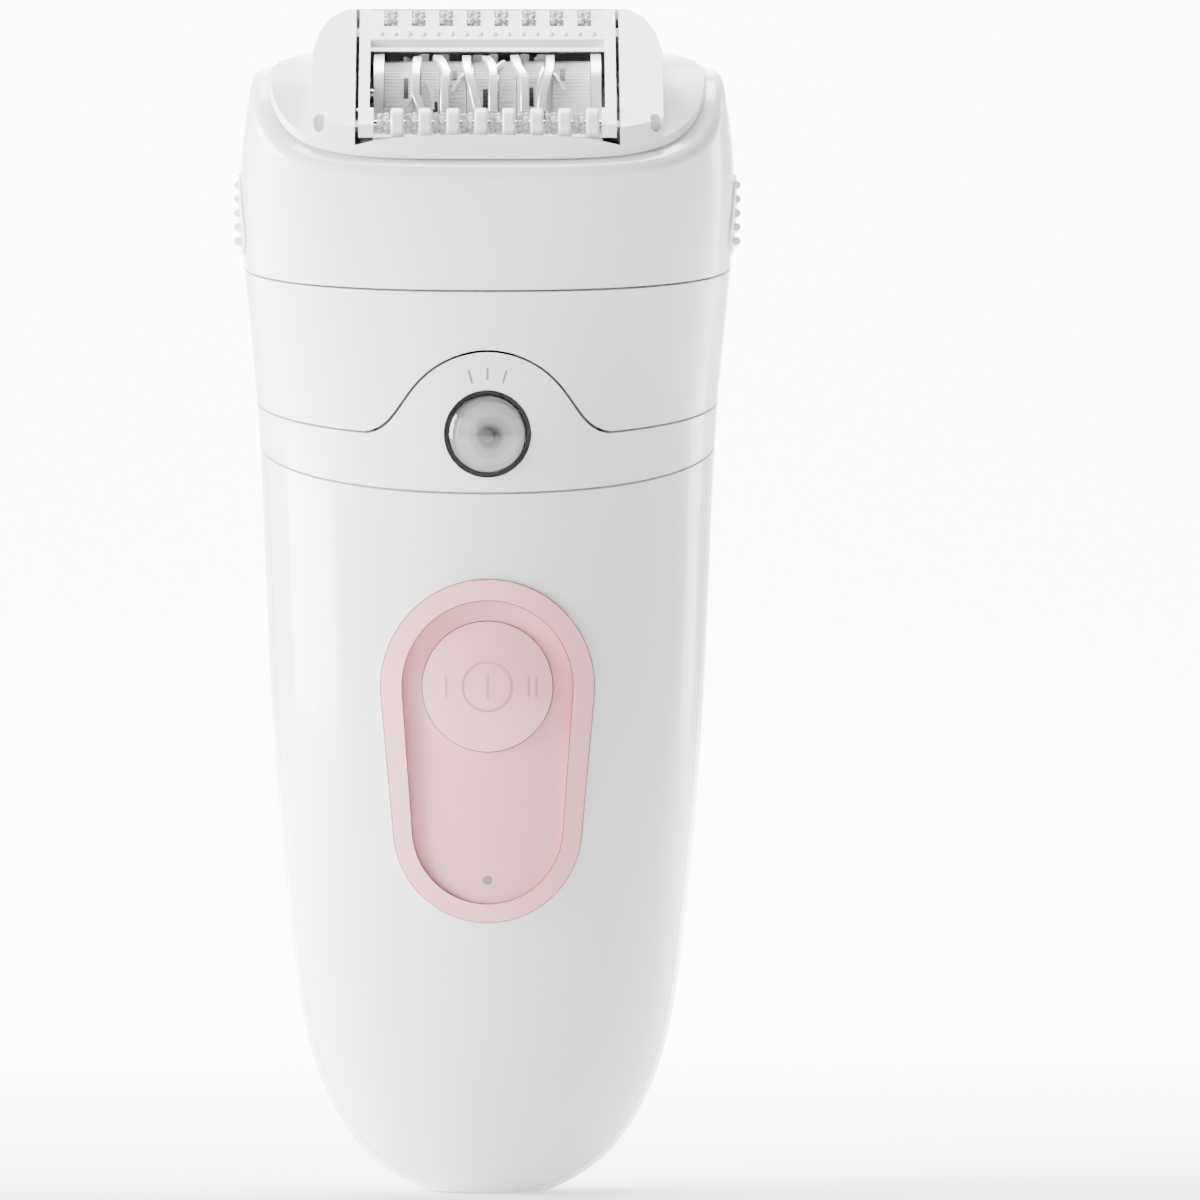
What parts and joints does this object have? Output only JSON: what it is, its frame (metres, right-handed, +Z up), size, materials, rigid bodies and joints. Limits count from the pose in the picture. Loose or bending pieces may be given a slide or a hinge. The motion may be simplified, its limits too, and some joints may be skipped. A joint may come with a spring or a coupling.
{
  "type": "epilator",
  "caption": "Corded hand-held epilator with a lift-off tweezer head, roller cap, push switch and lamp, shown standing upright without its cord.",
  "frame": {"origin": "centre of the flat base, at the mouth of the power inlet", "axes": "+Z up the handle to the roller cap, -Y towards the lamp and switch, +X to the right seen from the front"},
  "size_m": [0.0618, 0.0433, 0.145],
  "materials": {
    "white_housing": "gloss",
    "cap_white": "satin",
    "soft_accent": "soft satin",
    "accent_panel": "satin",
    "key_plastic": "satin",
    "clear_lens": "clear",
    "dark_plastic": "matte",
    "roller_plastic": "translucent",
    "inner_plastic": "matte",
    "steel": "bright",
    "bushing_brass": "satin",
    "seal_rubber": "matte",
    "board": "satin"
  },
  "bodies": {
    "handle": {"front_shell": "white_housing", "rear_shell": "white_housing", "light_collar": "white_housing", "lamp_bezel": "dark_plastic", "lamp_lens": "clear_lens", "lamp_led": "board", "switch_surround": "soft_accent", "switch_panel": "accent_panel", "indicator_pipe": "clear_lens", "circuit_board": "board", "board_parts": "board", "tact_switch": "dark_plastic", "motor_can": "steel", "motor_end_cap": "dark_plastic", "relay_axle": "steel", "drive_chassis": "inner_plastic", "chassis_screws": "steel", "coupling_deck": "inner_plastic", "deck_seal": "seal_rubber", "power_inlet": "cap_white", "inlet_pins": "bushing_brass", "inlet_leads": "seal_rubber", "motor_leads": "seal_rubber", "shell_screws": "steel"},
    "key": {"power_button": "key_plastic"},
    "motor_rotor": {"motor_shaft": "steel", "motor_pinion": "inner_plastic"},
    "relay": {"relay_gear": "inner_plastic"},
    "head": {"head_skirt": "white_housing", "head_shell": "white_housing", "head_chassis": "inner_plastic", "shaft_bushes": "bushing_brass", "idler_axle": "steel", "closing_cam": "inner_plastic", "head_screws": "steel", "release_spring_left": "steel", "release_spring_right": "steel"},
    "idler": {"idler_gear": "inner_plastic"},
    "drum": {"drum_shaft": "steel", "drum_gear": "inner_plastic", "drum_discs": "inner_plastic", "drum_segments": "inner_plastic", "tweezer_wheels": "steel", "actuator_rods": "steel"},
    "release_left": {"release_button_left": "cap_white"},
    "release_right": {"release_button_right": "cap_white"},
    "cap": {"cap_housing": "cap_white", "roller_frame": "cap_white", "front_roller_axle": "steel", "rear_roller_axle": "steel"},
    "front_row": {"front_rollers": "roller_plastic"},
    "rear_row": {"rear_rollers": "roller_plastic"}
  },
  "joints": [
    {"name": "key_press", "type": "slide", "parent": "handle", "child": "key", "axis": [0, 1, 0], "range_m": [0, 0.0008], "stiffness_N_per_m": 600, "springref_m": -0.0006},
    {"name": "motor_spin", "type": "hinge", "parent": "handle", "child": "motor_rotor", "pos_m": [0, 0.0015, 0.075], "axis": [0, 0, 1], "continuous": true},
    {"name": "relay_spin", "type": "hinge", "parent": "handle", "child": "relay", "pos_m": [0, 0.0015, 0.0995], "axis": [1, 0, 0], "continuous": true},
    {"name": "head_lift", "type": "slide", "parent": "handle", "child": "head", "axis": [0, 0, 1], "range_m": [0, 0.045]},
    {"name": "idler_spin", "type": "hinge", "parent": "head", "child": "idler", "pos_m": [0, -0.00013, 0.11662], "axis": [1, 0, 0], "continuous": true},
    {"name": "drum_spin", "type": "hinge", "parent": "head", "child": "drum", "pos_m": [0, -0.0083, 0.1313], "axis": [1, 0, 0], "continuous": true},
    {"name": "release_left_press", "type": "slide", "parent": "head", "child": "release_left", "axis": [1, 0, 0], "range_m": [0, 0.0012], "stiffness_N_per_m": 700, "springref_m": -0.0008, "deforming": ["release_spring_left"]},
    {"name": "release_right_press", "type": "slide", "parent": "head", "child": "release_right", "axis": [-1, 0, 0], "range_m": [0, 0.0012], "stiffness_N_per_m": 700, "springref_m": -0.0008, "deforming": ["release_spring_right"]},
    {"name": "cap_lift", "type": "slide", "parent": "head", "child": "cap", "axis": [0, -0.14, 0.9901], "range_m": [0, 0.025]},
    {"name": "front_rollers_spin", "type": "hinge", "parent": "cap", "child": "front_row", "pos_m": [0, -0.02052, 0.13011], "axis": [1, 0, 0], "continuous": true},
    {"name": "rear_rollers_spin", "type": "hinge", "parent": "cap", "child": "rear_row", "pos_m": [0, -0.00588, 0.14329], "axis": [1, 0, 0], "continuous": true}
  ],
  "couplings": [
    {"joint": "idler_spin", "follows": "drum_spin", "ratio": -0.44828},
    {"joint": "relay_spin", "follows": "drum_spin", "ratio": 0.92857},
    {"joint": "motor_spin", "follows": "drum_spin", "ratio": 1.8571}
  ]
}
